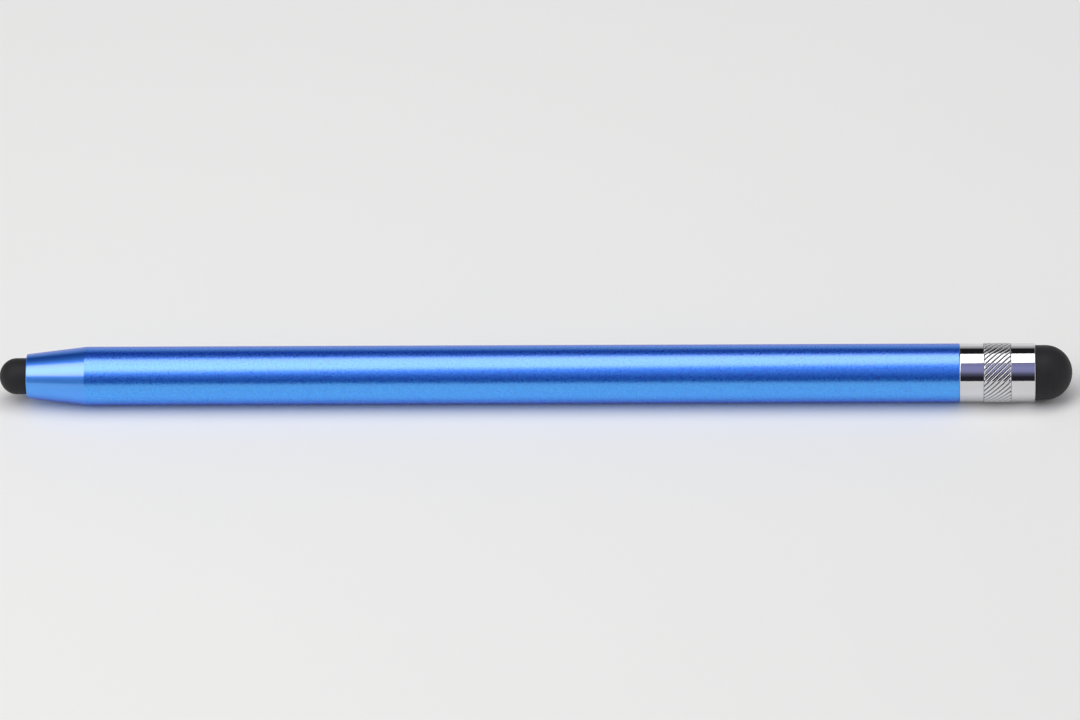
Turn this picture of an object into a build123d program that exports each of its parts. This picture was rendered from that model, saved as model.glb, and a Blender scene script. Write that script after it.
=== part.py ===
from build123d import *

import os
from math import ceil, cos, pi, radians, sin, tan

# Double-ended capacitive stylus: an anodised barrel with a small rubber tip in its nose, and a
# knurled ferrule that screws into the other end and carries a large rubber tip.
# The pen lies along X with its nose towards -X. Z is up, and z = 0 is the surface it lies on.
# All sizes are in millimetres.

# Barrel: a drawn tube with the nose taper turned on it
barrel_diameter = 8.0
barrel_length = 127.5
barrel_wall = 0.8
barrel_edge = 0.15
nose_length = 8.1
nose_shoulder = 0.68
nose_lip_wall = 0.5
nose_lip_round = 0.14

# Front tip: a hollow rubber dome whose skirt sits in the nose bore
front_tip_reach = 3.8
front_dome_height = 2.4
front_tip_wall = 0.7
front_tip_skirt = 4.6
front_tip_travel = 0.8

# Front post: a barbed brass post with a plug that seats on the shoulder inside the nose
front_barb_clearance = 0.2
front_barb_height = 0.45
front_plug_length = 4.0

# Rear tip: a larger hollow rubber dome whose skirt sits in the ferrule's cup
rear_tip_reach = 5.1
rear_dome_height = 3.7
rear_tip_wall = 0.9
rear_tip_skirt = 1.3
rear_tip_travel = 0.9

# Rear post: a barbed brass post pressed into the ferrule
rear_barb_clearance = 0.6
rear_barb_height = 0.75
rear_pin_diameter = 2.0
rear_pin_length = 6.0

# Rubber on metal: the bead that grips each post, and the room that each tip has
bead_length = 1.1
bead_grip_clearance = 0.15
barb_land = 0.4
tip_clearance = 0.04
tip_end_play = 0.1
crown_clearance = 1.0

# Ferrule: two polished rings with a diagonally knurled band between them
front_ring_length = 3.3
rear_ring_length = 3.3
ring_bevel = 0.2
ferrule_edge = 0.15
ferrule_lip_wall = 0.22
knurl_length = 3.7
knurl_ridges = 34
knurl_depth = 0.15
knurl_proud = 0.05
knurl_angle = 45.0
knurl_run_out = 0.3
knurl_slice_turn = 0.4

# Screw joint: a male thread on the ferrule's shank in a brass bush pressed into the barrel
thread_pitch = 0.8
thread_crest_flat = 0.1
thread_root_flat = 0.15
thread_flank_angle = 30.0
thread_clearance = 0.07
thread_turns = 7
thread_lead_in = 0.4
bush_wall = 0.67
bush_overrun = 1.0
bush_chamfer = 0.5
bush_end_play = 0.12

# Sealing ring in a groove at the root of the shank
seal_cord = 1.0
seal_fit = 0.04
groove_play = 0.12
groove_wall = 0.5

# Pieces that are pressed together
press_clearance = 0.01

# Depths that leave each tip room to be pressed in
nose_bore_depth = front_tip_skirt + front_tip_travel + tip_end_play
cup_depth = rear_tip_skirt + rear_tip_travel + tip_end_play

# Stations along the pen, counted from its middle
ferrule_length = front_ring_length + knurl_length + rear_ring_length
overall_length = front_tip_reach + barrel_length + ferrule_length + rear_tip_reach
nose_face = front_tip_reach - overall_length / 2
crease = nose_face + nose_length
shoulder = nose_face + nose_bore_depth
barrel_end = nose_face + barrel_length
knurl_front = barrel_end + front_ring_length
knurl_rear = knurl_front + knurl_length
ferrule_end = barrel_end + ferrule_length

# Radii from the barrel inwards
barrel_radius = barrel_diameter / 2
bore_radius = barrel_radius - barrel_wall
nose_bore_radius = bore_radius - nose_shoulder
nose_radius = nose_bore_radius + nose_lip_wall
front_tip_radius = nose_bore_radius - tip_clearance
cup_radius = barrel_radius - ferrule_lip_wall
rear_tip_radius = cup_radius - tip_clearance
pressed_radius = bore_radius - press_clearance
rear_pin_radius = rear_pin_diameter / 2
pin_hole_radius = rear_pin_radius + press_clearance
knurl_crest_radius = barrel_radius + knurl_proud
knurl_root_radius = knurl_crest_radius - knurl_depth
knurl_core_radius = knurl_root_radius - knurl_depth / 2
knurl_step = pi / knurl_ridges

# Seal: it wipes the barrel's bore, and its groove lies against the ferrule's front face
seal_centre_radius = bore_radius - seal_fit - seal_cord / 2
groove_floor_radius = seal_centre_radius - seal_cord / 2 - seal_fit
groove_width = seal_cord + 2 * groove_play
groove_front = barrel_end - groove_width
seal_station = barrel_end - groove_width / 2

# Thread: its depth follows from the pitch, the two flats and the slope of the flanks
flank_slope = tan(radians(thread_flank_angle))
flank_gap = 2 * thread_clearance / cos(radians(thread_flank_angle))
thread_depth = (thread_pitch - thread_crest_flat - thread_root_flat) / (2 * flank_slope)
thread_major_radius = pressed_radius - bush_wall - thread_clearance
thread_minor_radius = thread_major_radius - thread_depth
thread_root_width = thread_pitch - thread_root_flat
tapped_major_radius = thread_major_radius + thread_clearance
tapped_minor_radius = thread_minor_radius + thread_clearance
tapped_widening = flank_gap - 2 * thread_clearance * flank_slope

# Stations of the screw joint, from the seal's groove forwards
thread_length = thread_turns * thread_pitch
thread_rear = groove_front - groove_wall
shank_front = thread_rear - thread_length
bush_rear = thread_rear - bush_end_play
bush_front = shank_front - bush_end_play - bush_overrun
helix_start = bush_front - thread_pitch
helix_length = thread_rear + thread_pitch - helix_start

# The pen rests on the crests of its knurl, so its axis is one crest radius above the surface
pen_axis = Axis((0, 0, knurl_crest_radius), (1, 0, 0))


def profile_plane(station, direction):
    """Plane through the pen's axis: x runs from the station in the direction +1 or -1, y runs up."""
    return Plane(
        origin=(station, 0, knurl_crest_radius),
        x_dir=(direction, 0, 0),
        z_dir=(0, -direction, 0),
    )


def cross_plane(station, turn):
    """Plane square to the pen at a station along it, turned about the axis by an angle in radians."""
    return Plane(
        origin=(station, 0, knurl_crest_radius),
        x_dir=(0, cos(turn), sin(turn)),
        z_dir=(1, 0, 0),
    )


pen_plane = profile_plane(0, 1)
front_tip_plane = profile_plane(nose_face, -1)
rear_tip_plane = profile_plane(ferrule_end, 1)


def turn_outline(plane, points, mode=Mode.ADD):
    """Closes an outline of (station, radius) points and turns it about the pen's axis."""
    with BuildSketch(plane) as outline:
        with BuildLine():
            Polyline(*points, close=True)
        make_face()
    revolve(outline.sketch, axis=pen_axis, mode=mode)


def turn_rubber_tip(plane, radius, reach, dome_height, wall, skirt, bead_radius):
    """Turns a hollow dome: half an ellipse on a straight skirt, with a bead inside the skirt's end.

    Stations count outwards from the mouth that the tip stands in.
    """
    dome_centre = reach - dome_height
    cavity_radius = radius - wall
    bead_face = bead_length - skirt
    with BuildSketch(plane) as outline:
        with BuildLine():
            EllipticalCenterArc((dome_centre, 0), dome_height, radius, arc_size=90)
            EllipticalCenterArc((dome_centre, 0), dome_height - wall, cavity_radius, arc_size=90)
            Line((reach - wall, 0), (reach, 0))
            Polyline(
                (dome_centre, cavity_radius),
                (bead_face, cavity_radius),
                (bead_face, bead_radius),
                (-skirt, bead_radius),
                (-skirt, radius),
                (dome_centre, radius),
            )
        make_face()
    revolve(outline.sketch, axis=pen_axis)


def barbed_head(neck_radius, barb_radius, skirt, crown):
    """Outline of a post's head, from its end on the axis back to its neck.

    The barb stands just ahead of the tip's bead, and the head ends clear of the tip's crown.
    """
    barb_rear = bead_length - skirt + tip_end_play
    head_end = crown - crown_clearance
    return [
        (head_end, 0),
        (head_end, neck_radius),
        (barb_rear + barb_land, barb_radius),
        (barb_rear, barb_radius),
        (barb_rear, neck_radius),
    ]


def sweep_thread(root_radius, root_width, crest_radius, crest_width):
    """Sweeps a right-hand ridge with sloping flanks along the helix that both threads share.

    The flanks go on a little below the root, into the shank or out of the bush's bore, but not so far
    that neighbouring turns meet.
    """
    foot_width = (root_width + thread_pitch) / 2
    foot_radius = root_radius - (foot_width - root_width) / (2 * flank_slope)
    centre = Vector(helix_start, 0, knurl_crest_radius)
    with BuildLine() as path:
        Helix(thread_pitch, helix_length, foot_radius, center=centre, direction=(1, 0, 0))
    start = path.line @ 0
    with BuildSketch(Plane(origin=start, x_dir=start - centre, z_dir=path.line % 0)) as ridge:
        with BuildLine():
            Polyline(
                (0, -foot_width / 2),
                (crest_radius - foot_radius, -crest_width / 2),
                (crest_radius - foot_radius, crest_width / 2),
                (0, foot_width / 2),
                close=True,
            )
        make_face()
    sweep(ridge.sketch, path=path.line, is_frenet=True)


def knurl_points(crest_radius):
    """Corners of a ring of V-shaped ridges, crest and root by turns."""
    radii = [crest_radius, knurl_root_radius] * knurl_ridges
    return [(radius * cos(i * knurl_step), radius * sin(i * knurl_step)) for i, radius in enumerate(radii)]


# Barrel
with BuildPart() as barrel:
    turn_outline(
        pen_plane,
        [
            (nose_face, nose_bore_radius),
            (nose_face, nose_radius),
            (crease, barrel_radius),
            (barrel_end - barrel_edge, barrel_radius),
            (barrel_end, barrel_radius - barrel_edge),
            (barrel_end, bore_radius + barrel_edge),
            (barrel_end - barrel_edge, bore_radius),
            (shoulder + nose_shoulder, bore_radius),
            (shoulder, nose_bore_radius),
        ],
    )
    nose_edges = barrel.edges().filter_by(GeomType.CIRCLE).group_by(Axis.X)[0]
    fillet(nose_edges.sort_by(SortBy.RADIUS)[-1], nose_lip_round)
barrel.part.label = "barrel"

# Front tip
front_barb_radius = front_tip_radius - front_tip_wall - front_barb_clearance
front_neck_radius = front_barb_radius - front_barb_height
front_crown = front_tip_reach - front_tip_wall - front_tip_travel
with BuildPart() as front_tip:
    turn_rubber_tip(
        front_tip_plane,
        front_tip_radius,
        front_tip_reach,
        front_dome_height,
        front_tip_wall,
        front_tip_skirt,
        front_neck_radius + bead_grip_clearance,
    )
front_tip.part.label = "front_tip"

# Front tip post
plug_face = -nose_bore_depth - press_clearance
plug_cone_end = plug_face - nose_shoulder + press_clearance
plug_rear = plug_face - front_plug_length
with BuildPart() as front_tip_post:
    turn_outline(
        front_tip_plane,
        barbed_head(front_neck_radius, front_barb_radius, front_tip_skirt, front_crown)
        + [
            (plug_face, front_neck_radius),
            (plug_face, nose_bore_radius),
            (plug_cone_end, pressed_radius),
            (plug_rear, pressed_radius),
            (plug_rear, 0),
        ],
    )
front_tip_post.part.label = "front_tip_post"

# Tap: the bore of the bush with its thread, longer than the bush at both ends
with BuildPart() as tap:
    turn_outline(
        pen_plane,
        [
            (helix_start, 0),
            (helix_start, tapped_minor_radius),
            (helix_start + helix_length, tapped_minor_radius),
            (helix_start + helix_length, 0),
        ],
    )
    sweep_thread(
        tapped_minor_radius,
        thread_root_width + tapped_widening,
        tapped_major_radius,
        thread_crest_flat + tapped_widening,
    )

# Thread bush
with BuildPart() as thread_bush:
    turn_outline(
        pen_plane,
        [
            (bush_front, 0),
            (bush_front, pressed_radius),
            (bush_rear, pressed_radius),
            (bush_rear, tapped_minor_radius + bush_chamfer),
            (bush_rear - bush_chamfer, tapped_minor_radius),
            (bush_rear - bush_chamfer, 0),
        ],
    )
    add(tap.part, mode=Mode.SUBTRACT)
thread_bush.part.label = "thread_bush"

# Sealing ring
with BuildPart() as o_ring:
    with BuildSketch(pen_plane):
        with Locations((seal_station, seal_centre_radius)):
            Circle(seal_cord / 2)
    revolve(axis=pen_axis)
o_ring.part.label = "o_ring"

# Ferrule's thread, cut back to the length of the shank with a lead-in at its front
with BuildPart() as shank_thread:
    sweep_thread(thread_minor_radius, thread_root_width, thread_major_radius, thread_crest_flat)
    turn_outline(
        pen_plane,
        [
            (shank_front, 0),
            (shank_front, thread_major_radius - thread_lead_in),
            (shank_front + thread_lead_in, thread_major_radius),
            (thread_rear, thread_major_radius),
            (thread_rear, 0),
        ],
        mode=Mode.INTERSECT,
    )

# Ferrule's knurl: V-shaped ridges on a left-hand helix, which run out at both ends.
# Each slice turns by a part of the step from crest to root, so that like corners stay nearest.
knurl_twist = knurl_length * tan(radians(knurl_angle)) / barrel_radius
knurl_slices = ceil(knurl_twist / (knurl_slice_turn * knurl_step))
with BuildPart() as knurl:
    for i in range(knurl_slices + 1):
        along = knurl_length * i / knurl_slices
        ridge_height = min(1, along / knurl_run_out, (knurl_length - along) / knurl_run_out) * knurl_depth
        with BuildSketch(cross_plane(knurl_front + along, -knurl_twist * i / knurl_slices)):
            with BuildLine():
                Polyline(*knurl_points(knurl_root_radius + ridge_height), close=True)
            make_face()
    loft(ruled=True)

# Ferrule
cup_floor = ferrule_end - cup_depth
pin_hole_end = cup_floor - rear_pin_length - tip_end_play
with BuildPart() as ferrule:
    turn_outline(
        pen_plane,
        [
            (shank_front, 0),
            (shank_front, thread_minor_radius - thread_lead_in),
            (shank_front + thread_lead_in, thread_minor_radius),
            (thread_rear, thread_minor_radius),
            (thread_rear, seal_centre_radius),
            (groove_front, seal_centre_radius),
            (groove_front, groove_floor_radius),
            (barrel_end, groove_floor_radius),
            (barrel_end, barrel_radius - ferrule_edge),
            (barrel_end + ferrule_edge, barrel_radius),
            (knurl_front - ring_bevel, barrel_radius),
            (knurl_front, knurl_root_radius),
            (knurl_front, knurl_core_radius),
            (knurl_rear, knurl_core_radius),
            (knurl_rear, knurl_root_radius),
            (knurl_rear + ring_bevel, barrel_radius),
            (ferrule_end - ferrule_edge, barrel_radius),
            (ferrule_end, barrel_radius - ferrule_edge),
            (ferrule_end, 0),
        ],
    )
    add(shank_thread.part)
    add(knurl.part)
    turn_outline(
        pen_plane,
        [
            (pin_hole_end, 0),
            (pin_hole_end, pin_hole_radius),
            (cup_floor, pin_hole_radius),
            (cup_floor, cup_radius),
            (ferrule_end, cup_radius),
            (ferrule_end, 0),
        ],
        mode=Mode.SUBTRACT,
    )
ferrule.part.label = "ferrule"

# Rear tip
rear_barb_radius = rear_tip_radius - rear_tip_wall - rear_barb_clearance
rear_neck_radius = rear_barb_radius - rear_barb_height
rear_crown = rear_tip_reach - rear_tip_wall - rear_tip_travel
with BuildPart() as rear_tip:
    turn_rubber_tip(
        rear_tip_plane,
        rear_tip_radius,
        rear_tip_reach,
        rear_dome_height,
        rear_tip_wall,
        rear_tip_skirt,
        rear_neck_radius + bead_grip_clearance,
    )
rear_tip.part.label = "rear_tip"

# Rear tip post
with BuildPart() as rear_tip_post:
    turn_outline(
        rear_tip_plane,
        barbed_head(rear_neck_radius, rear_barb_radius, rear_tip_skirt, rear_crown)
        + [
            (-cup_depth, rear_neck_radius),
            (-cup_depth, rear_pin_radius),
            (-cup_depth - rear_pin_length, rear_pin_radius),
            (-cup_depth - rear_pin_length, 0),
        ],
    )
rear_tip_post.part.label = "rear_tip_post"

# One file for each piece
os.makedirs("parts", exist_ok=True)
pieces = [barrel, front_tip, front_tip_post, thread_bush, o_ring, ferrule, rear_tip_post, rear_tip]
for piece in pieces:
    export_step(piece.part, f"parts/{piece.part.label}.step")
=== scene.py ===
# %% [markdown]
# A stylus pen, dressed round its CAD frame. The frame gives the place of every piece, in metres: the pen
# lies along X with its nose towards -X, Z is up, and z = 0 is the surface it lies on. Nearly everything on
# this pen was made on a lathe, so nearly every piece here is an outline that is carried round one axis.

import bpy
import numpy as np
from mathutils import Matrix, Vector


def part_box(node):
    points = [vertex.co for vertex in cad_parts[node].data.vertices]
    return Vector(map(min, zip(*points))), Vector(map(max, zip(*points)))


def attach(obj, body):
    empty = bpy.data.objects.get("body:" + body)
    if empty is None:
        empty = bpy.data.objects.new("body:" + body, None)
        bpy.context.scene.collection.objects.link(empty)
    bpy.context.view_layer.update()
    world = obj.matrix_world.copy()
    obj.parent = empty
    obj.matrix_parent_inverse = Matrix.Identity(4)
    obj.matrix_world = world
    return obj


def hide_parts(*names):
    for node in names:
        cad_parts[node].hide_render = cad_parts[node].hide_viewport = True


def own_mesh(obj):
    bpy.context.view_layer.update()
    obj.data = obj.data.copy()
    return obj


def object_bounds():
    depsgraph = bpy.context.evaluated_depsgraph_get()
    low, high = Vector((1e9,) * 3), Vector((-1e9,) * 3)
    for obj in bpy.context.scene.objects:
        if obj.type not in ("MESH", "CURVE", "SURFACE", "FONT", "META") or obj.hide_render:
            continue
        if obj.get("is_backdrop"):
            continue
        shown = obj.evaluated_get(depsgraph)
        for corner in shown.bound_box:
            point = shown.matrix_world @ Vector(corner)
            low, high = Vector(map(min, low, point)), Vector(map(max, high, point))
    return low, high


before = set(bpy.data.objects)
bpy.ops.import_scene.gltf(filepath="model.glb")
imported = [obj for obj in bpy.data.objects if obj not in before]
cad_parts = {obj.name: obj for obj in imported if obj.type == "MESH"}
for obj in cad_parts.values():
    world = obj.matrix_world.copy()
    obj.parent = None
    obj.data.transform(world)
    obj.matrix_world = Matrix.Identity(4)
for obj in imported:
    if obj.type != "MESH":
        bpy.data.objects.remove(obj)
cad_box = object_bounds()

print("nodes in the frame:", sorted(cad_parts))

# %% [markdown]
# The sizes come first. What the frame can tell is read from the boxes of its nodes, so that the pieces
# follow the CAD model. Sizes that a box can't show are named with the piece that they belong to. Turned parts
# are drawn in millimetres, so all outlines below are in millimetres too, and become metres only in the mesh.

# %% Sizes of the pen
MM = 0.001


def span(node):
    """Lowest and highest corner of a CAD node in millimetres, to a hundredth."""
    return np.round(np.array(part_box(node)) / MM, 2)


barrel_low, barrel_high = span("barrel")
ferrule_low, ferrule_high = span("ferrule")
front_apex = span("front_tip")[0][0]
rear_apex = span("rear_tip")[1][0]
nose_face = barrel_low[0]
barrel_end = barrel_high[0]
shank_front = ferrule_low[0]
ferrule_end = ferrule_high[0]
axis_height = (ferrule_low[2] + ferrule_high[2]) / 2
print("pen length", rear_apex - front_apex, "mm, axis at", axis_height, "mm")

# %% [markdown]
# Real edges are never sharp: a turned edge is broken by a small chamfer or round, and that round is what
# catches the light. A Bevel modifier could do this, but it slows down on dense meshes. Here each outline is
# given by its corners, each with its own rounding, and the arcs are worked out once for the whole array.
# An extra point close beside each arc keeps the shading of the long straight runs flat.

# %% Outlines with rounded corners
ARC_STEPS = 4
GUARD = 0.02
SAME_POINT = 1e-6


def unit(vectors):
    """Each vector divided by its own length."""
    return vectors / np.linalg.norm(vectors, axis=-1, keepdims=True)


def rounded_outline(corners):
    """Outline through corners of (station, radius, rounding), each rounded by an arc.

    Where two runs meet at twice the angle h, an arc of radius r starts r / tan(h) before the corner, and its
    centre is r / sin(h) from the corner along the bisector. Its points swing evenly about that centre.
    """
    corners = np.array(corners, float)
    points = corners[:, :2]
    rounding = corners[:, 2:]
    to_last = unit(np.roll(points, 1, axis=0) - points)
    to_next = unit(np.roll(points, -1, axis=0) - points)
    half = np.arccos(np.clip((to_last * to_next).sum(axis=1, keepdims=True), -1, 1)) / 2
    reach = rounding / np.tan(half)
    guard = reach + GUARD * (rounding > 0)
    centre = points + unit(to_last + to_next) * rounding / np.sin(half)
    swing = np.pi - 2 * half
    share = np.linspace(0, 1, ARC_STEPS + 1)
    from_last = (np.sin((1 - share) * swing) / np.sin(swing))[..., None]
    from_next = (np.sin(share * swing) / np.sin(swing))[..., None]
    first = (points + to_last * reach - centre)[:, None]
    last = (points + to_next * reach - centre)[:, None]
    arcs = centre[:, None] + from_last * first + from_next * last
    before = (points + to_last * guard)[:, None]
    after = (points + to_next * guard)[:, None]
    outline = np.concatenate([before, arcs, after], axis=1).reshape(-1, 2)
    moved = np.linalg.norm(np.diff(outline, axis=0), axis=1) > SAME_POINT
    return outline[np.concatenate([[True], moved])]


def stepped(outline, longest):
    """The outline with each run divided evenly, so that no step is longer than the length given for it."""
    runs = np.diff(outline, axis=0)
    parts = np.ceil(np.linalg.norm(runs, axis=1) / longest).astype(int)
    run = np.repeat(np.arange(len(runs)), parts)
    share = (np.arange(len(run)) - (np.cumsum(parts) - parts)[run]) / parts[run]
    return np.vstack([outline[run] + share[:, None] * runs[run], outline[-1:]])


one_corner = rounded_outline([(0, 0, 0), (0, 1, 0.1), (1, 1, 0)])
print("one rounded corner between two ends takes", len(one_corner) - 2, "points")

# %% [markdown]
# A lathe turns an outline into a body, and a grid of points does the same: one row for each point of the
# outline, one column for each step round the axis. A Screw modifier could spin the outline too, but it keeps
# its columns straight, and the knurl below needs columns that turn. Quads join neighbouring points. A
# ring-shaped body, such as a tube, closes on itself along its rows too. Any other body ends in two small
# rings, which are shut by a fan of triangles, so that every mesh is a closed skin with its faces outwards.

# %% Turned points and their mesh


def turned(outline, columns, turn=0.0, ridges=0.0):
    """Points of an outline carried round the pen's axis, as rows of columns, in metres.

    Point (i, j) is (x, r cos a, axis + r sin a), where a is 2 pi j / columns plus the row's own turn, and r
    is the outline's radius plus the ridges' height there.
    """
    angle = 2 * np.pi * np.arange(columns) / columns + np.reshape(turn, (-1, 1))
    station, radius, angle = np.broadcast_arrays(outline[:, :1], outline[:, 1:] + ridges, angle)
    across = radius * np.cos(angle)
    up = axis_height + radius * np.sin(angle)
    return np.stack([station, across, up], axis=-1) * MM


def add_surface(name, points, closed=False):
    """Object whose mesh joins a grid of points by quads: (i, j), (i, j + 1), (i + 1, j + 1), (i + 1, j).

    The grid closes over its columns. It closes over its rows too, or else a fan shuts each end.
    """
    rows, columns = points.shape[:2]
    here = np.arange(rows * columns).reshape(rows, columns)
    if closed:
        here = np.vstack([here, here[:1]])
    beside = np.roll(here, -1, axis=1)
    vertices = points.reshape(-1, 3)
    faces = np.stack([here[:-1], beside[:-1], beside[1:], here[1:]], axis=-1).reshape(-1, 4).tolist()
    if not closed:
        start_hub = np.full(columns, len(vertices))
        end_hub = start_hub + 1
        vertices = np.vstack([vertices, points[[0, -1]].mean(axis=1)])
        faces += np.stack([start_hub, beside[0], here[0]], axis=-1).tolist()
        faces += np.stack([end_hub, here[-1], beside[-1]], axis=-1).tolist()
    mesh = bpy.data.meshes.new(name)
    mesh.from_pydata(vertices.tolist(), [], faces, shade_flat=False)
    mesh.update()
    piece = bpy.data.objects.new(name, mesh)
    bpy.context.scene.collection.objects.link(piece)
    print(name, len(vertices), "points,", len(faces), "faces")
    return piece


ring_of_four = turned(np.array([[0.0, 1.0]]), 4)[0]
print("a ring of 1 mm round the axis in four points, in metres:", ring_of_four.round(5).tolist())

# %% [markdown]
# Finishes are node trees. One helper adds a node, sets what belongs to the node itself, and fills its inputs
# with links or with plain values. Colours are written as the hex values that an eye or a paint card gives,
# and one function turns them into the linear light that a renderer works in. A Mix node names its sockets
# alike for every kind of data, so its colour sockets are picked by number. A noise texture rarely leaves the
# range from 0.3 to 0.7, so a finish that follows a noise spreads that range over its own. A wave texture
# turns through 20 radians in each unit of length, which gives the scale for a pitch in millimetres.

# %% Helpers for finishes
MIX_SHARE = 0
MIX_FIRST = 6
MIX_SECOND = 7
MIX_RESULT = 2
NOISE_LOW = 0.3
NOISE_HIGH = 0.7
WAVE_RADIANS = 20


def linear(hex_colour):
    """sRGB hex to linear RGBA: c / 12.92 up to 0.04045, and ((c + 0.055) / 1.055) to the power 2.4 above."""
    srgb = np.array([int(hex_colour[i:i + 2], 16) for i in (1, 3, 5)]) / 255
    colour = np.where(srgb <= 0.04045, srgb / 12.92, ((srgb + 0.055) / 1.055) ** 2.4)
    return (*colour.tolist(), 1.0)


def add_node(tree, kind, inputs=None, **settings):
    """Adds a node with its settings, and gives each named input a link or a constant."""
    made = tree.nodes.new(kind)
    for key, value in settings.items():
        setattr(made, key, value)
    for key, value in (inputs or {}).items():
        if isinstance(value, bpy.types.NodeSocket):
            tree.links.new(value, made.inputs[key])
        else:
            made.inputs[key].default_value = value
    return made


def new_finish(name):
    """An empty material and its node tree."""
    finish = bpy.data.materials.new(name)
    finish.use_nodes = True
    finish.node_tree.nodes.clear()
    return finish, finish.node_tree


def per_mm(size):
    """Scale of a noise texture on Object coordinates, whose features are then about this many mm wide."""
    return 1 / (size * MM)


def rings_per_mm(pitch):
    """Scale of a banded wave texture with this pitch in mm: 2 pi / 20 units at scale 1, over the pitch."""
    return 2 * np.pi / WAVE_RADIANS / (pitch * MM)


print("a mid grey of #808080 sends back", round(linear("#808080")[0], 3), "of the light")

# %% [markdown]
# The barrel is a drawn aluminium tube. Its outside is blasted with fine glass beads, which leaves a satin
# skin of tiny craters, then anodised and dyed blue. One glossy blue shader could stand for it, but it would
# look like paint: the real dye sits in a clear oxide layer on bare metal. So the base is a blue metal under a
# coat with the refractive index of aluminium oxide. Seen at a slant, light crosses more of the dye, so the
# metal has a dark blue edge tint, which gives the barrel its deep rims. The dye also scatters a little deep
# blue light by itself, which keeps the dark bands of the barrel blue. The craters are really about 0.05 mm
# wide: here they are drawn six times as coarse, so that they still sparkle in a picture.

# %% Craters of the blasted tube
CRATER_SIZE = 0.3
CRATER_DEPTH = 0.009
CRATER_GRAIN = 0.55
CRATER_FLOOR = 0.36
CRATER_RIM = 0.64
FLOOR_BLUE = "#2da7f6"
RIM_BLUE = "#38bcff"
FLOOR_ROUGHNESS = 0.26
RIM_ROUGHNESS = 0.32

blasted, tree = new_finish("aluminium_bead_blasted_blue_anodised")
place = add_node(tree, "ShaderNodeTexCoord").outputs["Object"]
craters = add_node(
    tree,
    "ShaderNodeTexNoise",
    {"Vector": place, "Scale": per_mm(CRATER_SIZE), "Detail": 3.0, "Roughness": CRATER_GRAIN},
)
depth = add_node(
    tree,
    "ShaderNodeMapRange",
    {"Value": craters.outputs["Fac"], "From Min": CRATER_FLOOR, "From Max": CRATER_RIM},
)
blue = add_node(
    tree,
    "ShaderNodeMix",
    {MIX_SHARE: depth.outputs["Result"], MIX_FIRST: linear(FLOOR_BLUE), MIX_SECOND: linear(RIM_BLUE)},
    data_type="RGBA",
)
satin = add_node(
    tree,
    "ShaderNodeMapRange",
    {
        "Value": craters.outputs["Fac"],
        "From Min": NOISE_LOW,
        "From Max": NOISE_HIGH,
        "To Min": FLOOR_ROUGHNESS,
        "To Max": RIM_ROUGHNESS,
    },
)
relief = add_node(
    tree,
    "ShaderNodeBump",
    {"Height": craters.outputs["Fac"], "Strength": 1.0, "Distance": CRATER_DEPTH * MM},
)
print("craters of", CRATER_SIZE, "mm,", CRATER_DEPTH, "mm deep")

# %% Finish of the blasted tube
OXIDE_IOR = 1.9
OXIDE_ROUGHNESS = 0.22
EDGE_TINT = "#3858b0"
DEEP_BLUE = "#1440ff"
DYE_SCATTER = 0.2

surface = add_node(
    tree,
    "ShaderNodeBsdfPrincipled",
    {
        "Base Color": blue.outputs[MIX_RESULT],
        "Metallic": 1.0,
        "Roughness": satin.outputs["Result"],
        "Specular Tint": linear(EDGE_TINT),
        "Normal": relief.outputs["Normal"],
        "Coat Weight": 1.0,
        "Coat Roughness": OXIDE_ROUGHNESS,
        "Coat IOR": OXIDE_IOR,
        "Coat Normal": relief.outputs["Normal"],
    },
)
scatter = add_node(
    tree, "ShaderNodeBsdfDiffuse", {"Color": linear(DEEP_BLUE), "Normal": relief.outputs["Normal"]}
)
dyed = add_node(
    tree, "ShaderNodeMixShader", {0: DYE_SCATTER, 1: surface.outputs["BSDF"], 2: scatter.outputs["BSDF"]}
)
add_node(tree, "ShaderNodeOutputMaterial", {"Surface": dyed.outputs["Shader"]})
print(blasted.name, "with", len(tree.nodes), "nodes")

# %% [markdown]
# The taper at the nose is turned after the blasting, then dyed with the rest, so it is smoother and brighter
# than the tube, and scatters less. A lathe tool leaves a fine spiral of grooves. It could be modelled, but it
# is far too shallow to change the outline, so bump is enough. It is drawn here as rings 0.2 mm apart, about
# twice the real pitch, because a finer pattern would be lost between the picture's points.

# %% Finish of the turned nose
TURNING_PITCH = 0.2
TURNING_DEPTH = 0.0012
TURNED_ROUGHNESS = 0.31
TURNED_OXIDE_ROUGHNESS = 0.15
DYE_PATCH = 2.5
PALE_NOSE_BLUE = "#42abff"
FULL_NOSE_BLUE = "#3ca6fc"
NOSE_SCATTER = 0.12

turned_nose, tree = new_finish("aluminium_turned_blue_anodised")
place = add_node(tree, "ShaderNodeTexCoord").outputs["Object"]
grooves = add_node(
    tree,
    "ShaderNodeTexWave",
    {"Vector": place, "Scale": rings_per_mm(TURNING_PITCH), "Distortion": 1.5, "Detail": 1.0},
    bands_direction="X",
)
dye = add_node(tree, "ShaderNodeTexNoise", {"Vector": place, "Scale": per_mm(DYE_PATCH), "Detail": 1.0})
blue = add_node(
    tree,
    "ShaderNodeMix",
    {
        MIX_SHARE: dye.outputs["Fac"],
        MIX_FIRST: linear(PALE_NOSE_BLUE),
        MIX_SECOND: linear(FULL_NOSE_BLUE),
    },
    data_type="RGBA",
)
relief = add_node(
    tree,
    "ShaderNodeBump",
    {"Height": grooves.outputs["Fac"], "Strength": 1.0, "Distance": TURNING_DEPTH * MM},
)
surface = add_node(
    tree,
    "ShaderNodeBsdfPrincipled",
    {
        "Base Color": blue.outputs[MIX_RESULT],
        "Metallic": 1.0,
        "Roughness": TURNED_ROUGHNESS,
        "Specular Tint": linear(EDGE_TINT),
        "Normal": relief.outputs["Normal"],
        "Coat Weight": 1.0,
        "Coat Roughness": TURNED_OXIDE_ROUGHNESS,
        "Coat IOR": OXIDE_IOR,
    },
)
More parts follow.
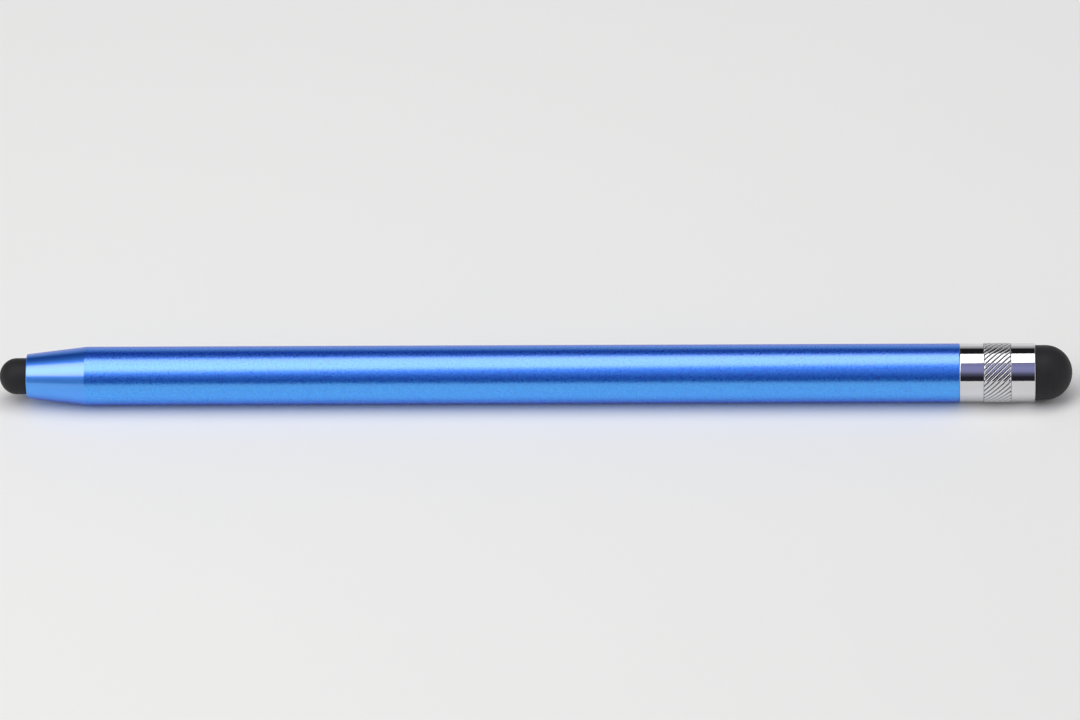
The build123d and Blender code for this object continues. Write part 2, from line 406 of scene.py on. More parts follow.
scatter = add_node(tree, "ShaderNodeBsdfDiffuse", {"Color": linear(DEEP_BLUE)})
dyed = add_node(
    tree, "ShaderNodeMixShader", {0: NOSE_SCATTER, 1: surface.outputs["BSDF"], 2: scatter.outputs["BSDF"]}
)
add_node(tree, "ShaderNodeOutputMaterial", {"Surface": dyed.outputs["Shader"]})
print(turned_nose.name, "with rings", TURNING_PITCH, "mm apart")

# %% [markdown]
# The barrel's outline runs round the wall of the tube: up the nose face, over its rounded lip, along the
# taper to the crease, along the tube, round the rear edge, and back through the bore to the shoulder behind
# the nose. Two cylinders and a Boolean could make the tube, but they would leave sharp, uneven edges. The
# outline closes on itself, so the grid closes over its rows as well. The taper's faces take the turned
# finish, and all others the blasted one.

# %% The barrel
BARREL_RADIUS = 4.0
NOSE_LENGTH = 8.1
NOSE_RADIUS = 3.02
NOSE_BORE_RADIUS = 2.52
NOSE_BORE_DEPTH = 5.5
BORE_RADIUS = 3.2
BORE_ROUND = 0.1
LIP_ROUND = 0.14
CREASE_ROUND = 0.6
BARREL_EDGE = 0.08
LONGEST_BARREL_STEP = 3.0
BARREL_COLUMNS = 256
WALL_MARGIN = 0.02

crease = nose_face + NOSE_LENGTH
shoulder = nose_face + NOSE_BORE_DEPTH
outline = rounded_outline(
    [
        (nose_face, NOSE_BORE_RADIUS, BORE_ROUND),
        (nose_face, NOSE_RADIUS, LIP_ROUND),
        (crease, BARREL_RADIUS, CREASE_ROUND),
        (barrel_end, BARREL_RADIUS, BARREL_EDGE),
        (barrel_end, BORE_RADIUS, BARREL_EDGE),
        (shoulder + BORE_RADIUS - NOSE_BORE_RADIUS, BORE_RADIUS, BORE_ROUND),
        (shoulder, NOSE_BORE_RADIUS, BORE_ROUND),
    ]
)
outline = stepped(outline, LONGEST_BARREL_STEP)
barrel = add_surface("anodised_barrel", turned(outline, BARREL_COLUMNS), closed=True)
barrel.data.materials.append(blasted)
barrel.data.materials.append(turned_nose)
on_taper = (outline[:, 0] < crease) & (outline[:, 1] > NOSE_BORE_RADIUS + WALL_MARGIN)
on_taper &= np.arange(len(outline)) < np.argmax(outline[:, 0])
barrel.data.polygons.foreach_set("material_index", np.repeat(on_taper, BARREL_COLUMNS).astype(np.int32))
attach(barrel, "barrel")
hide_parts("barrel")

# %% [markdown]
# Both ends of the pen are hollow domes of soft rubber, filled with carbon so that a touchscreen feels them.
# Carbon makes them nearly black. They come out of a lightly etched mould, so they are matt with a broad soft
# shine. A flat black would look like a hole in the picture, so the shine carries the form. The mould's
# etching, really about 0.03 mm, is drawn at 0.12 mm, with faint paler dust in patches.

# %% Finish of the rubber
ETCHING_SIZE = 0.12
ETCHING_DEPTH = 0.006
DUST_PATCH = 1.6
CLEAN_RUBBER = "#1c1c1e"
DUSTY_RUBBER = "#232325"
CLEAN_ROUGHNESS = 0.52
DUSTY_ROUGHNESS = 0.62
SILICONE_IOR = 1.41
SILICONE_SHINE = 0.35

rubber, tree = new_finish("silicone_rubber_carbon_filled_moulded")
place = add_node(tree, "ShaderNodeTexCoord").outputs["Object"]
etching = add_node(
    tree, "ShaderNodeTexNoise", {"Vector": place, "Scale": per_mm(ETCHING_SIZE), "Detail": 2.0}
)
dust = add_node(tree, "ShaderNodeTexNoise", {"Vector": place, "Scale": per_mm(DUST_PATCH), "Detail": 3.0})
black = add_node(
    tree,
    "ShaderNodeMix",
    {MIX_SHARE: dust.outputs["Fac"], MIX_FIRST: linear(CLEAN_RUBBER), MIX_SECOND: linear(DUSTY_RUBBER)},
    data_type="RGBA",
)
matt = add_node(
    tree,
    "ShaderNodeMapRange",
    {
        "Value": dust.outputs["Fac"],
        "From Min": NOISE_LOW,
        "From Max": NOISE_HIGH,
        "To Min": CLEAN_ROUGHNESS,
        "To Max": DUSTY_ROUGHNESS,
    },
)
relief = add_node(
    tree,
    "ShaderNodeBump",
    {"Height": etching.outputs["Fac"], "Strength": 1.0, "Distance": ETCHING_DEPTH * MM},
)
surface = add_node(
    tree,
    "ShaderNodeBsdfPrincipled",
    {
        "Base Color": black.outputs[MIX_RESULT],
        "Roughness": matt.outputs["Result"],
        "IOR": SILICONE_IOR,
        "Specular IOR Level": SILICONE_SHINE,
        "Normal": relief.outputs["Normal"],
    },
)
add_node(tree, "ShaderNodeOutputMaterial", {"Surface": surface.outputs["BSDF"]})
print(rubber.name, "with an etching of", ETCHING_SIZE, "mm")

# %% [markdown]
# Each dome is half an ellipse on a straight skirt. A sphere set on a cylinder would show a crease where they
# meet, and one outline doesn't. Inside, a smaller ellipse leaves an even wall, and a bead at the skirt's end
# grips a brass post. Stations are counted outwards from the mouth that the dome stands in, so one function
# makes both domes. When a tip is pressed, its crown moves in while its skirt stays where it is. Here the
# whole piece rides on the moving body of its tip.

# %% Outlines of the two rubber domes
DOME_STEPS = 40
POLE_GAP = 0.01
BEAD_LENGTH = 1.1
SKIRT_ROUND = 0.12
LONGEST_SKIRT_STEP = 0.3


def dome_outline(radius, reach, height, wall, skirt, bead_radius):
    """Outline of a hollow dome from its outer crown, down over the skirt, to its inner crown.

    The crown's points are (c + h sin t, r cos t) for an ellipse of height h and radius r on a centre c.
    """
    centre = reach - height
    bead_face = BEAD_LENGTH - skirt
    angle = np.linspace(np.pi / 2 - POLE_GAP, 0, DOME_STEPS)
    outer = np.column_stack([centre + height * np.sin(angle), radius * np.cos(angle)])
    inner = np.column_stack([centre + (height - wall) * np.sin(angle), (radius - wall) * np.cos(angle)])
    skirt_outline = rounded_outline(
        [
            (centre, radius, 0),
            (-skirt, radius, SKIRT_ROUND),
            (-skirt, bead_radius, SKIRT_ROUND),
            (bead_face, bead_radius, SKIRT_ROUND),
            (bead_face, radius - wall, SKIRT_ROUND),
            (centre, radius - wall, 0),
        ]
    )
    return np.vstack([outer[:-1], stepped(skirt_outline, LONGEST_SKIRT_STEP), inner[-2::-1]])


front_outline = dome_outline(
    radius=2.48, reach=nose_face - front_apex, height=2.4, wall=0.7, skirt=4.6, bead_radius=1.32
)
front_outline[:, 0] = nose_face - front_outline[:, 0]
rear_outline = dome_outline(
    radius=3.74, reach=rear_apex - ferrule_end, height=3.7, wall=0.9, skirt=1.3, bead_radius=1.64
)
rear_outline[:, 0] = ferrule_end + rear_outline[:, 0]
print("dome outlines of", len(front_outline), "and", len(rear_outline), "points")

# %% The two rubber domes
DOME_COLUMNS = 160
FRONT_TRAVEL = 0.8
REAR_TRAVEL = 0.9

front_dome = add_surface("front_rubber_dome", turned(front_outline, DOME_COLUMNS))
rear_dome = add_surface("rear_rubber_dome", turned(rear_outline[::-1], DOME_COLUMNS))

for dome, body, crown, length, travel in (
    (front_dome, "front_tip", front_apex, np.ptp(front_outline[:, 0]), FRONT_TRAVEL),
    (rear_dome, "rear_tip", rear_apex, np.ptp(rear_outline[:, 0]), REAR_TRAVEL),
):
    dome.data.materials.append(rubber)
    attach(dome, body)
    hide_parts(body)
    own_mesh(dome)
    print(dome.name, "is", length, "mm long and gives by", travel, "mm")

# %% [markdown]
# The ferrule is turned from brass, knurled, and plated with bright nickel and chrome. The plate is a nearly
# perfect mirror, so it shows the studio more than itself: what makes it look real is slight waviness from
# polishing, faint lines from the mop, and a duller plate in the grooves of the knurl, where the mop can't
# reach. The grooves are also given a darker plate colour, which is painted shade standing in for the shade
# that falls in them. The grooves could be picked out by painting their faces, but the distance from the axis
# finds them too, with a soft edge. The plain plate and the knurled one are built alike. They differ only in
# what they do below the radius that the mop reaches, where the knurled one turns duller and, by painted
# shade, darker. The mop's lines, really finer, are drawn 0.12 mm apart.

# %% Finishes of the plated ferrule
POLISH_WAVE = 1.8
POLISH_DEPTH = 0.0012
MOP_PITCH = 0.12
MOP_DEPTH = 0.00015
# Between these two radii the knurl's grooves turn duller, and darker by painted shade.
DULL_AND_SHADED_RADIUS = 3.95
BRIGHT_RADIUS = 4.03
BRIGHT_PLATE = "#dcdcde"
BRIGHT_ROUGHNESS = 0.06
# The darker groove colour is painted shade for the knurl's grooves; the higher groove roughness is the
# plate's own.
GROOVE_PLATE_PAINTED_SHADE = "#62626a"
GROOVE_ROUGHNESS = 0.2

plates = []
for name, low_plate, low_roughness in (
    ("brass_polished_bright_chrome_plate", BRIGHT_PLATE, BRIGHT_ROUGHNESS),
    ("brass_knurled_bright_chrome_plate", GROOVE_PLATE_PAINTED_SHADE, GROOVE_ROUGHNESS),
):
    plate, tree = new_finish(name)
    place = add_node(tree, "ShaderNodeTexCoord").outputs["Object"]
    from_axis = add_node(
        tree, "ShaderNodeVectorMath", {0: place, 1: (0, 0, axis_height * MM)}, operation="SUBTRACT"
    )
    across = add_node(
        tree, "ShaderNodeVectorMath", {0: from_axis.outputs["Vector"], 1: (0, 1, 1)}, operation="MULTIPLY"
    )
    distance = add_node(tree, "ShaderNodeVectorMath", {0: across.outputs["Vector"]}, operation="LENGTH")
    height = add_node(
        tree,
        "ShaderNodeMapRange",
        {"Value": distance.outputs["Value"], "From Min": DULL_AND_SHADED_RADIUS * MM, "From Max": BRIGHT_RADIUS * MM},
        interpolation_type="SMOOTHSTEP",
    )
    # Below the mop's radius the knurled plate is mixed towards the darker groove colour: painted shade in the
    # grooves.
    silver = add_node(
        tree,
        "ShaderNodeMix",
        {MIX_SHARE: height.outputs["Result"], MIX_FIRST: linear(low_plate), MIX_SECOND: linear(BRIGHT_PLATE)},
        data_type="RGBA",
    )
    polish = add_node(
        tree,
        "ShaderNodeMapRange",
        {"Value": height.outputs["Result"], "To Min": low_roughness, "To Max": BRIGHT_ROUGHNESS},
    )
    waves = add_node(
        tree, "ShaderNodeTexNoise", {"Vector": place, "Scale": per_mm(POLISH_WAVE), "Detail": 1.0}
    )
    mop_lines = add_node(
        tree,
        "ShaderNodeTexWave",
        {"Vector": place, "Scale": rings_per_mm(MOP_PITCH), "Distortion": 3.0, "Detail": 2.0},
        bands_direction="X",
    )
    wavy = add_node(
        tree,
        "ShaderNodeBump",
        {"Height": waves.outputs["Fac"], "Strength": 1.0, "Distance": POLISH_DEPTH * MM},
    )
    lined = add_node(
        tree,
        "ShaderNodeBump",
        {
            "Height": mop_lines.outputs["Fac"],
            "Strength": 1.0,
            "Distance": MOP_DEPTH * MM,
            "Normal": wavy.outputs["Normal"],
        },
    )
    surface = add_node(
        tree,
        "ShaderNodeBsdfPrincipled",
        {
            "Base Color": silver.outputs[MIX_RESULT],
            "Metallic": 1.0,
            "Roughness": polish.outputs["Result"],
            "Normal": lined.outputs["Normal"],
        },
    )
    add_node(tree, "ShaderNodeOutputMaterial", {"Surface": surface.outputs["BSDF"]})
    plates.append(plate)
    print(plate.name, "with polish waves of", POLISH_WAVE, "mm")
plain_plate, knurled_plate = plates

# %% [markdown]
# The ferrule's outline starts at the tip of its shank and goes over the collar, the seal's groove, the front
# ring, the knurled band and the rear ring into the cup and the post's hole. It could be stacked from rings,
# but the real one is turned from one bar, so it is one outline here. At first the knurled band is left plain,
# at the radius of the knurl's roots.

# %% The ferrule's outline
THREAD_MINOR_RADIUS = 1.974
THREAD_LENGTH = 5.6
LEAD_IN = 0.4
COLLAR_LENGTH = 0.5
COLLAR_RADIUS = 2.66
COLLAR_ROUND = 0.08
GROOVE_RADIUS = 2.12
FRONT_RING = 3.3
RING_BEVEL = 0.04
RING_ROUND = 0.02
KNURL_LENGTH = 3.7
KNURL_ROOT_RADIUS = 3.93
KNURL_ROOT_ROUND = 0.01
FERRULE_EDGE = 0.1
CUP_RADIUS = 3.78
CUP_DEPTH = 2.3
CUP_LIP_ROUND = 0.04
CUP_FLOOR_ROUND = 0.1
PIN_HOLE_RADIUS = 1.01
PIN_HOLE_DEPTH = 6.1
INNER_ROUND = 0.05
HUB_RADIUS = 0.3

thread_rear = shank_front + THREAD_LENGTH
groove_front = thread_rear + COLLAR_LENGTH
knurl_front = barrel_end + FRONT_RING
knurl_rear = knurl_front + KNURL_LENGTH
cup_floor = ferrule_end - CUP_DEPTH
pin_hole_end = cup_floor - PIN_HOLE_DEPTH
plain_outline = rounded_outline(
    [
        (shank_front, HUB_RADIUS, 0),
        (shank_front, THREAD_MINOR_RADIUS - LEAD_IN, INNER_ROUND),
        (shank_front + LEAD_IN, THREAD_MINOR_RADIUS, INNER_ROUND),
        (thread_rear, THREAD_MINOR_RADIUS, INNER_ROUND),
        (thread_rear, COLLAR_RADIUS, COLLAR_ROUND),
        (groove_front, COLLAR_RADIUS, COLLAR_ROUND),
        (groove_front, GROOVE_RADIUS, INNER_ROUND),
        (barrel_end, GROOVE_RADIUS, INNER_ROUND),
        (barrel_end, BARREL_RADIUS, FERRULE_EDGE),
        (knurl_front - RING_BEVEL, BARREL_RADIUS, RING_ROUND),
        (knurl_front, KNURL_ROOT_RADIUS, KNURL_ROOT_ROUND),
        (knurl_rear, KNURL_ROOT_RADIUS, KNURL_ROOT_ROUND),
        (knurl_rear + RING_BEVEL, BARREL_RADIUS, RING_ROUND),
        (ferrule_end, BARREL_RADIUS, FERRULE_EDGE),
        (ferrule_end, CUP_RADIUS, CUP_LIP_ROUND),
        (cup_floor, CUP_RADIUS, CUP_FLOOR_ROUND),
        (cup_floor, PIN_HOLE_RADIUS, INNER_ROUND),
        (pin_hole_end, PIN_HOLE_RADIUS, INNER_ROUND),
        (pin_hole_end, HUB_RADIUS, 0),
    ]
)
print("ferrule from", shank_front, "to", ferrule_end, "mm,", len(plain_outline), "points in its outline")

# %% [markdown]
# The knurl is rolled by a wheel with slanting teeth, so its ridges climb at 45 degrees. They have flat crests
# with round grooves between them, and run out at both ends. Bump could draw them, but the knurl breaks the
# pen's outline, so it has to be real. A straight grid would cut across the ridges in steps. Here the columns
# turn with the ridges, so each crest and each groove runs along columns of its own.

# %% Ridges of the knurl
KNURL_RIDGES = 34
KNURL_CREST_RADIUS = 4.05
KNURL_RUN_OUT = 0.03
GROOVE_SHARE = 0.55
COLUMNS_PER_RIDGE = 16
LONGEST_KNURL_STEP = 0.15
LONGEST_PLAIN_STEP = 20.0

run_middle = (plain_outline[1:] + plain_outline[:-1]) / 2
knurled = (run_middle[:, 0] > knurl_front) & (run_middle[:, 0] < knurl_rear)
knurled &= run_middle[:, 1] > CUP_RADIUS
outline = stepped(plain_outline, np.where(knurled, LONGEST_KNURL_STEP, LONGEST_PLAIN_STEP))
outside = np.arange(len(outline)) < np.argmax(outline[:, 0])
along_knurl = np.where(outside, np.clip(outline[:, 0], knurl_front, knurl_rear) - knurl_front, KNURL_LENGTH)
run_out = np.minimum(along_knurl, KNURL_LENGTH - along_knurl) / KNURL_RUN_OUT
ridge_height = (KNURL_CREST_RADIUS - KNURL_ROOT_RADIUS) * np.clip(run_out, 0, 1)
phase = np.arange(KNURL_RIDGES * COLUMNS_PER_RIDGE) / COLUMNS_PER_RIDGE % 1
from_groove = np.abs(2 * phase - 1)
crests = (1 - np.cos(np.pi * np.minimum(from_groove / GROOVE_SHARE, 1))) / 2
slant = -along_knurl / BARREL_RADIUS
print("knurl of", KNURL_RIDGES, "ridges,", round(ridge_height.max(), 3), "mm high")

# %% The ferrule
ferrule = add_surface("plated_ferrule", turned(outline, len(phase), slant, ridge_height[:, None] * crests))
ferrule.data.materials.append(plain_plate)
ferrule.data.materials.append(knurled_plate)
on_knurl = (run_out[:-1] > 0) | (run_out[1:] > 0)
on_knurl = np.repeat(on_knurl, len(phase))
fans = np.zeros(2 * len(phase), bool)
ferrule.data.polygons.foreach_set("material_index", np.concatenate([on_knurl, fans]).astype(np.int32))
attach(ferrule, "ferrule")
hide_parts("ferrule")

# %% [markdown]
# The shank's thread shows when the ferrule is screwed out. A Screw modifier could make it, but it can't taper
# the ends. A thread is a profile carried along a helix: here a ridge with sloping flanks and rounded corners,
# right-handed, with its foot sunk a little into the shank. It tapers away at both ends, as a cut thread does.

# %% The thread on the shank
THREAD_PITCH = 0.8
THREAD_MAJOR_RADIUS = 2.45
THREAD_CREST = 0.1
THREAD_CREST_ROUND = 0.03
THREAD_FOOT = 0.72
THREAD_FOOT_ROUND = 0.02
THREAD_SINK = 0.06
THREAD_START_ANGLE = np.radians(234)
THREAD_TAPER_TURNS = 0.6
THREAD_TIP_SHARE = 0.02
STEPS_PER_TURN = 72

foot = THREAD_MINOR_RADIUS - THREAD_SINK
ridge = rounded_outline(
    [
        (THREAD_FOOT / 2, foot, THREAD_FOOT_ROUND),
        (THREAD_CREST / 2, THREAD_MAJOR_RADIUS, THREAD_CREST_ROUND),
        (-THREAD_CREST / 2, THREAD_MAJOR_RADIUS, THREAD_CREST_ROUND),
        (-THREAD_FOOT / 2, foot, THREAD_FOOT_ROUND),
    ]
)
turns = (THREAD_LENGTH - THREAD_FOOT) / THREAD_PITCH
turn = np.linspace(0, turns, round(turns * STEPS_PER_TURN))[:, None]
station = shank_front + THREAD_FOOT / 2 + THREAD_PITCH * turn
angle = THREAD_START_ANGLE + 2 * np.pi * (station - shank_front) / THREAD_PITCH
taper = np.clip(np.minimum(turn, turns - turn) / THREAD_TAPER_TURNS, 0, 1)
radius = foot + (ridge[:, 1] - foot) * (THREAD_TIP_SHARE + (1 - THREAD_TIP_SHARE) * taper)
points = np.stack(
    [
        station + ridge[:, 0],
        radius * np.cos(angle),
        axis_height + radius * np.sin(angle),
    ],
    axis=-1,
)
thread = add_surface("shank_thread", points * MM)
thread.data.materials.append(plain_plate)
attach(thread, "ferrule")

# %% [markdown]
# A small nitrile ring in the groove keeps the thread from working loose. It is black like the domes and could
# share their finish, but it comes out of a smooth mould, so it shines more, with a faint bloom on its skin.

# %% Finish of the sealing ring
BLOOM_PATCH = 0.5
CLEAN_NITRILE = "#161618"
BLOOMED_NITRILE = "#212123"
NITRILE_ROUGHNESS = 0.34
BLOOM_ROUGHNESS = 0.46
NITRILE_IOR = 1.52

nitrile, tree = new_finish("nitrile_rubber_moulded_smooth")
place = add_node(tree, "ShaderNodeTexCoord").outputs["Object"]
bloom = add_node(tree, "ShaderNodeTexNoise", {"Vector": place, "Scale": per_mm(BLOOM_PATCH), "Detail": 2.0})
black = add_node(
    tree,
    "ShaderNodeMix",
    {
        MIX_SHARE: bloom.outputs["Fac"],
        MIX_FIRST: linear(CLEAN_NITRILE),
        MIX_SECOND: linear(BLOOMED_NITRILE),
    },
    data_type="RGBA",
)
dull = add_node(
    tree,
    "ShaderNodeMapRange",
    {
        "Value": bloom.outputs["Fac"],
        "From Min": NOISE_LOW,
        "From Max": NOISE_HIGH,
        "To Min": NITRILE_ROUGHNESS,
        "To Max": BLOOM_ROUGHNESS,
    },
)
surface = add_node(
    tree,
    "ShaderNodeBsdfPrincipled",
    {"Base Color": black.outputs[MIX_RESULT], "Roughness": dull.outputs["Result"], "IOR": NITRILE_IOR},
)
add_node(tree, "ShaderNodeOutputMaterial", {"Surface": surface.outputs["BSDF"]})
print(nitrile.name, "with bloom in patches of", BLOOM_PATCH, "mm")

# %% [markdown]
# The ring is a torus, which is a circle carried round the axis. Blender has one ready made, but without the
# faint ridge that the two halves of the mould leave round its outside. That ridge is a bell curve that is
# added to the circle's radius.

# %% The sealing ring
SEAL_CORD = 1.0
SEAL_STEPS = 32
SEAL_COLUMNS = 128
FLASH_HEIGHT = 0.012
FLASH_WIDTH = 0.12

seal_box = span("o_ring")
seal_station = seal_box[:, 0].mean()
seal_centre = np.ptp(seal_box[:, 2]) / 2 - SEAL_CORD / 2
around = np.linspace(0, 2 * np.pi, SEAL_STEPS, endpoint=False)
flash = FLASH_HEIGHT * np.exp(-((around - np.pi / 2) / FLASH_WIDTH) ** 2)
cord_radius = SEAL_CORD / 2 - FLASH_HEIGHT + flash
outline = np.column_stack(
    [seal_station - cord_radius * np.cos(around), seal_centre + cord_radius * np.sin(around)]
)
seal = add_surface("seal_ring", turned(outline, SEAL_COLUMNS), closed=True)
seal.data.materials.append(nitrile)
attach(seal, "seal")
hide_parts("o_ring")

# %% [markdown]
# Three brass pieces stay hidden inside: the two barbed posts and the threaded bush. Their CAD shapes are
# right as they are, so they stay instead of being modelled again, and take a plain turned brass. The tool's
# rings, really a little finer, are drawn 0.15 mm apart. They give the brass soft bands of light, and slight
# tarnish dulls its yellow in patches.

# %% Finish of the brass inside
BRASS_PITCH = 0.15
BRASS_DEPTH = 0.002
BRASS_ROUGHNESS = 0.28
TARNISH_PATCH = 1.2
FRESH_BRASS = "#d9b265"
TARNISHED_BRASS = "#b98f45"

brass, tree = new_finish("brass_plain_turned")
place = add_node(tree, "ShaderNodeTexCoord").outputs["Object"]
grooves = add_node(
    tree,
    "ShaderNodeTexWave",
    {"Vector": place, "Scale": rings_per_mm(BRASS_PITCH), "Distortion": 1.0, "Detail": 1.0},
    bands_direction="X",
)
tarnish = add_node(
    tree, "ShaderNodeTexNoise", {"Vector": place, "Scale": per_mm(TARNISH_PATCH), "Detail": 3.0}
)
gold = add_node(
    tree,
    "ShaderNodeMix",
    {
        MIX_SHARE: tarnish.outputs["Fac"],
        MIX_FIRST: linear(FRESH_BRASS),
        MIX_SECOND: linear(TARNISHED_BRASS),
    },
    data_type="RGBA",
)
relief = add_node(
    tree,
    "ShaderNodeBump",
    {"Height": grooves.outputs["Fac"], "Strength": 1.0, "Distance": BRASS_DEPTH * MM},
)
surface = add_node(
    tree,
    "ShaderNodeBsdfPrincipled",
    {
        "Base Color": gold.outputs[MIX_RESULT],
        "Metallic": 1.0,
        "Roughness": BRASS_ROUGHNESS,
        "Normal": relief.outputs["Normal"],
    },
)
add_node(tree, "ShaderNodeOutputMaterial", {"Surface": surface.outputs["BSDF"]})
for name in ("front_tip_post", "thread_bush", "rear_tip_post"):
    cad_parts[name].material_slots[0].material = brass
    print(name, "is now", brass.name)

# %% [markdown]
# The pen lies on a plain pale floor that fills the picture, wide enough to be seen in the mirror of the
# ferrule right up to its horizon. A studio's paper sweep curves up behind, but a flat floor shows the same
# from here. It is matt paper, so it has a broad diffuse finish with a very faint mottling.

# %% The floor
FLOOR_HALF = 4.0
MOTTLE_SIZE = 30
PAPER = "#f2f3ee"
PALE_PAPER = "#f4f4ef"
PAPER_ROUGHNESS = 0.95
PAPER_IOR = 1.2

floor_corners = np.array([(-1, -1, 0), (1, -1, 0), (1, 1, 0), (-1, 1, 0)]) * FLOOR_HALF
floor_mesh = bpy.data.meshes.new("floor")
floor_mesh.from_pydata(floor_corners.tolist(), [], [(0, 1, 2, 3)])
floor = bpy.data.objects.new("floor", floor_mesh)
bpy.context.scene.collection.objects.link(floor)
paper, tree = new_finish("paper_matt_pale")
place = add_node(tree, "ShaderNodeTexCoord").outputs["Object"]
mottle = add_node(tree, "ShaderNodeTexNoise", {"Vector": place, "Scale": per_mm(MOTTLE_SIZE), "Detail": 2.0})
pale = add_node(
    tree,
    "ShaderNodeMix",
    {MIX_SHARE: mottle.outputs["Fac"], MIX_FIRST: linear(PAPER), MIX_SECOND: linear(PALE_PAPER)},
    data_type="RGBA",
)
surface = add_node(
    tree,
    "ShaderNodeBsdfPrincipled",
    {"Base Color": pale.outputs[MIX_RESULT], "Roughness": PAPER_ROUGHNESS, "IOR": PAPER_IOR},
)
add_node(tree, "ShaderNodeOutputMaterial", {"Surface": surface.outputs["BSDF"]})
floor.data.materials.append(paper)
floor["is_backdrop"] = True
print("floor of", 2 * FLOOR_HALF, "m in", paper.name)

# %% [markdown]
# The studio is what the mirror shows. A photographed studio could be wrapped round the scene, but a few stops
# of colour are enough here: the pen only reflects directions that are nearly square to it, so the sky is
# described by the angle round the pen. 0 degrees is the horizon in front, 90 straight up, and 180 the horizon
# behind. In front there is a dark gap and then a soft grey with a violet cast, behind there is a dark gap and
# a pale wall that turns white down at the horizon. Towards both ends of the pen the sky is a plain fill,
# strong in front and weak behind, which lights the floor and the taper of the nose. Past the floor's edge
# the camera sees plain pale grey.

# %% The sky
HALF_TURN = 180
SKY_STOPS = (
    (0, "#26242b"),
    (16, "#28262f"),
    (28, "#5a5b74"),
    (38, "#8a8bb6"),
    (50, "#9292c6"),
    (70, "#8585b0"),
    (75, "#1e1e1f"),
    (141, "#1e1e1f"),
    (150, "#a8a8a8"),
    (180, "#ffffff"),
)

scene = bpy.context.scene
scene.world = bpy.data.worlds.new("studio")
scene.world.use_nodes = True
tree = scene.world.node_tree
tree.nodes.clear()
direction = add_node(tree, "ShaderNodeTexCoord").outputs["Generated"]
parts = add_node(tree, "ShaderNodeSeparateXYZ", {"Vector": direction})
towards = add_node(tree, "ShaderNodeMath", {0: parts.outputs["Y"], 1: -1.0}, operation="MULTIPLY")
angle_up = add_node(
    tree, "ShaderNodeMath", {0: parts.outputs["Z"], 1: towards.outputs["Value"]}, operation="ARCTAN2"
)
share = add_node(tree, "ShaderNodeMapRange", {"Value": angle_up.outputs["Value"], "From Max": np.pi})
ramp = add_node(tree, "ShaderNodeValToRGB", {"Fac": share.outputs["Result"]})
stops = ramp.color_ramp.elements
stops.remove(stops[1])
stops[0].color = linear(SKY_STOPS[0][1])
for degrees, hex_colour in SKY_STOPS[1:]:
    stops.new(degrees / HALF_TURN).color = linear(hex_colour)
print("sky of", len(stops), "stops")

# %% The fill towards both ends
FILL_TINT = (1.01, 0.99, 1.02)
FRONT_FILL = 0.8
BACK_FILL = 0.3
FRONT_ENDS = np.radians(95)
BACK_STARTS = np.radians(125)
SIDE_START = 0.25
SIDE_END = 0.45
BACKDROP = "#e6e6e6"

fill_strength = add_node(
    tree,
    "ShaderNodeMapRange",
    {
        "Value": angle_up.outputs["Value"],
        "From Min": FRONT_ENDS,
        "From Max": BACK_STARTS,
        "To Min": FRONT_FILL,
        "To Max": BACK_FILL,
    },
    interpolation_type="SMOOTHSTEP",
)
fill = add_node(
    tree, "ShaderNodeVectorMath", {0: FILL_TINT, "Scale": fill_strength.outputs["Result"]}, operation="SCALE"
)
sideways = add_node(tree, "ShaderNodeMath", {0: parts.outputs["X"]}, operation="ABSOLUTE")
side_share = add_node(
    tree,
    "ShaderNodeMapRange",
    {"Value": sideways.outputs["Value"], "From Min": SIDE_START, "From Max": SIDE_END},
    interpolation_type="SMOOTHSTEP",
)
studio = add_node(
    tree,
    "ShaderNodeMix",
    {
        MIX_SHARE: side_share.outputs["Result"],
        MIX_FIRST: ramp.outputs["Color"],
        MIX_SECOND: fill.outputs["Vector"],
    },
    data_type="RGBA",
)
path = add_node(tree, "ShaderNodeLightPath")
seen = add_node(
    tree,
    "ShaderNodeMix",
    {
        MIX_SHARE: path.outputs["Is Camera Ray"],
        MIX_FIRST: studio.outputs[MIX_RESULT],
        MIX_SECOND: linear(BACKDROP),
    },
    data_type="RGBA",
)
background = add_node(tree, "ShaderNodeBackground", {"Color": seen.outputs[MIX_RESULT]})
add_node(tree, "ShaderNodeOutputWorld", {"Surface": background.outputs["Background"]})
print("fill of", FRONT_FILL, "in front and", BACK_FILL, "behind")

# %% [markdown]
# The main light is one long softbox above the pen. It slants down to the front left, so that its reflection
# slides along the barrel: towards the camera and wider at the nose, straight above at the ferrule. Its power
# follows from how bright its face should look, because an area light of radiance L and area A gives pi times
# L times A watts. A camera pales a bright blue towards violet, which plain white light doesn't do. A tone
# curve for the whole picture could, but it would shift every other colour. So the barrel has a twin of the
# softbox in the same place, pinker and a tenth wider, and light linking gives each piece one box of the two.

# %% The softbox and its twin for the barrel
SOFTBOX_LENGTH = 1.05
SOFTBOX_WIDTH = 0.345
SOFTBOX_PLACE = (-0.08, -0.094, 0.58)
SOFTBOX_ALONG = (-0.641, -0.668, -0.377)
SOFTBOX_FACING = (0.127, 0.393, -0.911)
SOFTBOX_RADIANCE = 2.4
SOFTBOX_TINT = (1.0, 1.0, 1.0)
TWIN_WIDTH = 0.38
TWIN_TINT = (1.36, 0.73, 1.01)

